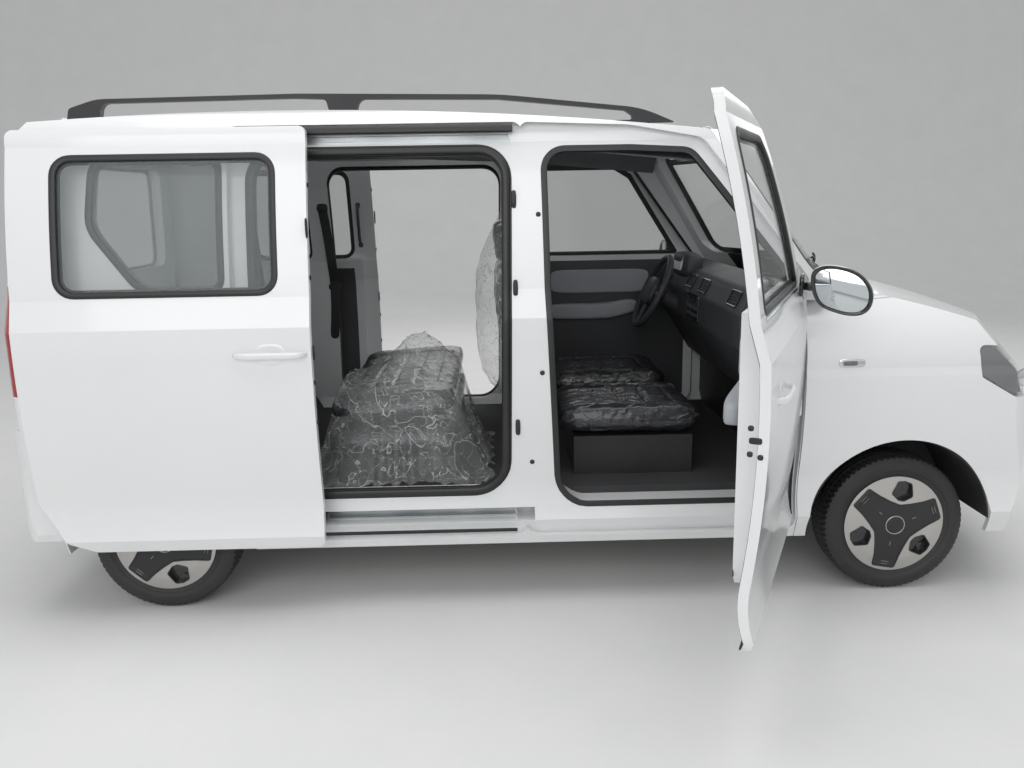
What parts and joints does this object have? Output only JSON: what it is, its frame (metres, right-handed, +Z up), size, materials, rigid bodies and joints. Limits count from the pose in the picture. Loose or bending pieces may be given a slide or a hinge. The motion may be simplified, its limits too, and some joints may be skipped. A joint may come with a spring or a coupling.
{
  "type": "electric minivan",
  "caption": "Small white electric minivan with sliding side doors, hinged front doors, tailgate, roof rails and a seat row folded forward; shown with its side doors open.",
  "frame": {"origin": "middle of the whole vehicle's length and width as it stands, with the right front door open, on the ground", "axes": "+X forward to the nose, +Y to the vehicle's left, +Z up"},
  "size_m": [3.9949, 2.8186, 1.9077],
  "materials": {
    "white_paint": "glossy white body paint",
    "lamp_clear": "clear lamp cover over bright bowls",
    "lamp_red": "red lamp cover",
    "window_glass": "clear window glass",
    "black_trim": "grained black trim",
    "mirror_black": "gloss black mirror housing",
    "steel_dark": "black chassis paint with road dust",
    "steel_bare": "bare steel",
    "track_metal": "drawn aluminium",
    "floor_dark": "dark floor",
    "upholstery": "black woven upholstery in clear film",
    "dash_grey": "dark grey grained plastic",
    "wheel_silver": "satin silver wheel cover",
    "tyre_rubber": "black tyre rubber with dust",
    "battery_case": "cast aluminium housing"
  },
  "bodies": {
    "chassis": {"side_frame_right": "white_paint", "side_frame_left": "white_paint", "roof_panel": "white_paint", "tail_lamps": "lamp_red", "fixed_glass": "window_glass", "sliding_door_right": "white_paint", "sliding_door_left": "white_paint", "sliding_door_glass": "window_glass", "fender_right": "white_paint", "fender_left": "white_paint", "headlamps": "lamp_clear", "front_bumper": "white_paint", "rear_bumper": "white_paint", "floor_pan": "floor_dark", "rear_floor": "floor_dark", "bulkhead": "black_trim", "front_frame": "steel_dark", "front_suspension": "steel_dark", "rear_axle": "steel_dark", "battery_pack": "battery_case", "drive_unit": "battery_case", "front_seats": "upholstery", "seat_frames": "black_trim", "rear_bench": "upholstery", "dashboard": "dash_grey", "roof_rails": "black_trim", "door_tracks": "track_metal", "door_rollers": "steel_dark"},
    "front_door_right": {"front_door_right": "white_paint", "front_door_right_glass": "window_glass", "front_door_right_mirror": "mirror_black"},
    "front_door_left": {"front_door_left": "white_paint", "front_door_left_glass": "window_glass", "front_door_left_mirror": "mirror_black"},
    "bonnet": {"bonnet": "white_paint"},
    "tailgate": {"tailgate": "white_paint", "tailgate_glass": "window_glass"},
    "knuckle_right": {"knuckle_right": "steel_dark"},
    "knuckle_left": {"knuckle_left": "steel_dark"},
    "steering_wheel": {"steering_wheel": "black_trim"},
    "wheel_front_right": {"wheel_front_right": "wheel_silver", "tyre_front_right": "tyre_rubber"},
    "wheel_front_left": {"wheel_front_left": "wheel_silver", "tyre_front_left": "tyre_rubber"},
    "wheel_rear_right": {"wheel_rear_right": "wheel_silver", "tyre_rear_right": "tyre_rubber"},
    "wheel_rear_left": {"wheel_rear_left": "wheel_silver", "tyre_rear_left": "tyre_rubber"}
  },
  "joints": [
    {"name": "open_front_door_right", "type": "hinge", "parent": "chassis", "child": "front_door_right", "pos_m": [0.925, -0.49416, 0.905], "axis": [0, 0, 1], "range_deg": [-65, 3]},
    {"name": "open_front_door_left", "type": "hinge", "parent": "chassis", "child": "front_door_left", "pos_m": [0.925, 1.16884, 0.905], "axis": [0, 0, -1], "range_deg": [0, 68]},
    {"name": "open_bonnet", "type": "hinge", "parent": "chassis", "child": "bonnet", "pos_m": [1.189, 0.33734, 1.175], "axis": [0, -1, 0], "range_deg": [0, 50]},
    {"name": "open_tailgate", "type": "hinge", "parent": "chassis", "child": "tailgate", "pos_m": [-1.812, 0.33734, 1.849], "axis": [0, 1, 0], "range_deg": [0, 85]},
    {"name": "steer_right", "type": "hinge", "parent": "chassis", "child": "knuckle_right", "pos_m": [1.3375, -0.27266, 0.49], "axis": [0, 0.1644, 0.9864], "range_deg": [-33, 33]},
    {"name": "steer_left", "type": "hinge", "parent": "chassis", "child": "knuckle_left", "pos_m": [1.3375, 0.94734, 0.49], "axis": [0, -0.1644, 0.9864], "range_deg": [-33, 33]},
    {"name": "turn_steering_wheel", "type": "hinge", "parent": "chassis", "child": "steering_wheel", "pos_m": [0.6, 0.70734, 1.065], "axis": [0.8988, 0, -0.4384], "range_deg": [-500, 500]},
    {"name": "spin_front_right", "type": "hinge", "parent": "knuckle_right", "child": "wheel_front_right", "pos_m": [1.3375, -0.36516, 0.272], "axis": [0, 1, 0], "continuous": true},
    {"name": "spin_front_left", "type": "hinge", "parent": "knuckle_left", "child": "wheel_front_left", "pos_m": [1.3375, 1.03984, 0.272], "axis": [0, 1, 0], "continuous": true},
    {"name": "spin_rear_right", "type": "hinge", "parent": "chassis", "child": "wheel_rear_right", "pos_m": [-1.4625, -0.36516, 0.272], "axis": [0, 1, 0], "continuous": true},
    {"name": "spin_rear_left", "type": "hinge", "parent": "chassis", "child": "wheel_rear_left", "pos_m": [-1.4625, 1.03984, 0.272], "axis": [0, 1, 0], "continuous": true}
  ],
  "couplings": [
    {"joint": "steer_left", "follows": "steer_right", "ratio": 1},
    {"joint": "turn_steering_wheel", "follows": "steer_right", "ratio": -15}
  ]
}
